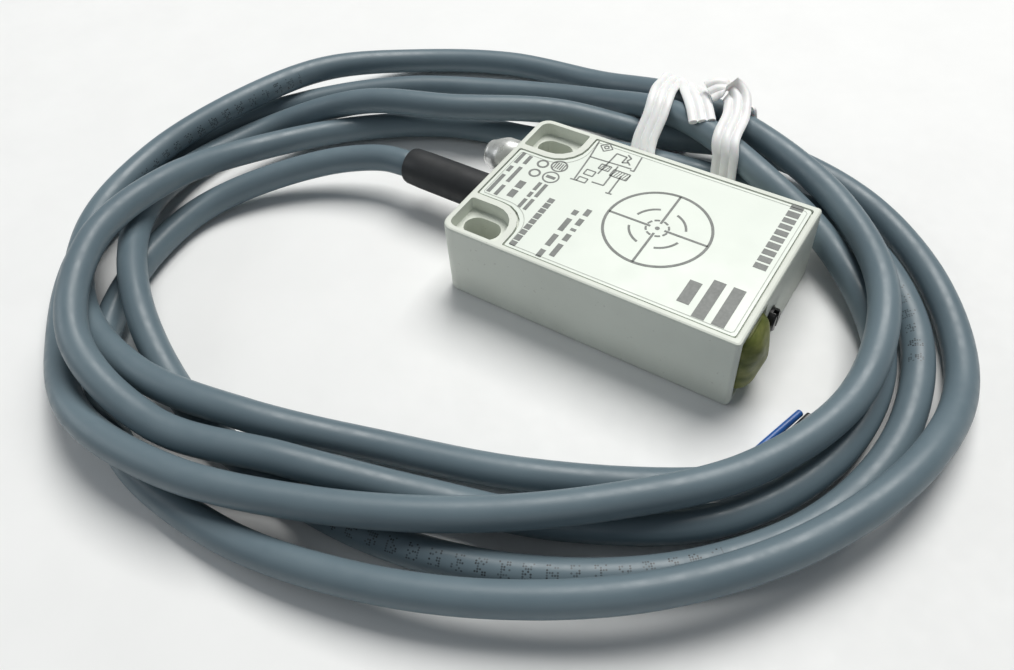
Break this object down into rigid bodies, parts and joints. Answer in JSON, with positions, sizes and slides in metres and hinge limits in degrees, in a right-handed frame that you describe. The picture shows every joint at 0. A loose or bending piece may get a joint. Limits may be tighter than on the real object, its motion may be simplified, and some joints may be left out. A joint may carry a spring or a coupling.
{
  "type": "proximity sensor",
  "caption": "Flat rectangular proximity sensor with a moulded cable outlet, an end-face sensitivity screw, a status window and a tied, stripped cable.",
  "frame": {"origin": "middle of the housing's base, on the plane that it is screwed down to", "axes": "+X along the housing, away from the cable outlet; +Y across it; +Z out of the base, through the sensing face with the label"},
  "size_m": [0.1604, 0.1309, 0.0172],
  "materials": {
    "housing_plastic": "fine satin moulded polyester, light warm grey",
    "label_foil": "satin printed foil, very light green grey with grey print",
    "potting_resin": "cast resin",
    "circuit_board": "solder mask over glass laminate",
    "copper_plate": "bare copper",
    "tinned_metal": "tinned",
    "black_moulding": "black moulded plastic",
    "blue_moulding": "blue moulded plastic",
    "ceramic": "fired ceramic",
    "window_resin": "tinted translucent plastic, uneven olive yellow",
    "clear_lens": "clear cast resin",
    "sleeve_rubber": "matt black moulded sleeve",
    "seal_rubber": "soft black rubber",
    "cable_sheath": "satin blue-grey sheath",
    "core_brown": "smooth insulation",
    "core_white": "smooth insulation",
    "core_blue": "smooth insulation",
    "core_black": "smooth insulation",
    "tie_plastic": "ribbed white plastic tie"
  },
  "bodies": {
    "sensor": {"amplifier_chip": "black_moulding", "base_plate": "housing_plastic", "cable": "cable_sheath", "cable_clamp": "tinned_metal", "cable_sleeve": "sleeve_rubber", "ceramic_capacitor_1": "ceramic", "ceramic_capacitor_2": "ceramic", "circuit_board": "circuit_board", "core_black": "core_black", "core_blue": "core_blue", "core_brown": "core_brown", "core_white": "core_white", "electrode_carrier": "black_moulding", "electrode_lead": "tinned_metal", "filter_capacitor": "tinned_metal", "front_label": "label_foil", "guard_ring": "copper_plate", "housing": "housing_plastic", "indicator_led": "ceramic", "indicator_lens": "clear_lens", "jacket_end": "cable_sheath", "lead_black": "core_black", "lead_blue": "core_blue", "lead_brown": "core_brown", "lead_white": "core_white", "oscillator_chip": "black_moulding", "output_transistor": "black_moulding", "potting_resin": "potting_resin", "protection_diode": "black_moulding", "resistor_1": "black_moulding", "resistor_2": "black_moulding", "resistor_3": "black_moulding", "resistor_4": "black_moulding", "sensing_electrode": "copper_plate", "tie_wrap_left": "tie_plastic", "tie_wrap_right": "tie_plastic", "trimmer_body": "blue_moulding", "trimmer_cover": "blue_moulding", "trimmer_element": "ceramic", "trimmer_seal": "seal_rubber", "voltage_regulator": "black_moulding", "window": "window_resin", "window_led": "ceramic"},
    "trimmer_screw": {"trimmer_adjuster": "black_moulding"},
    "wiper_wheel": {"trimmer_wiper_wheel": "copper_plate"}
  },
  "joints": [
    {"name": "trimmer_turn", "type": "hinge", "parent": "sensor", "child": "trimmer_screw", "pos_m": [0.0275, -0.0032, 0.0075], "axis": [1, 0, 0], "range_deg": [-1980, 1980]},
    {"name": "wiper_turn", "type": "hinge", "parent": "sensor", "child": "wiper_wheel", "pos_m": [0.0166, 0.0001, 0.0075], "axis": [0, 0, 1], "range_deg": [-100, 100]}
  ],
  "couplings": [
    {"joint": "wiper_turn", "follows": "trimmer_turn", "ratio": 0.05}
  ]
}
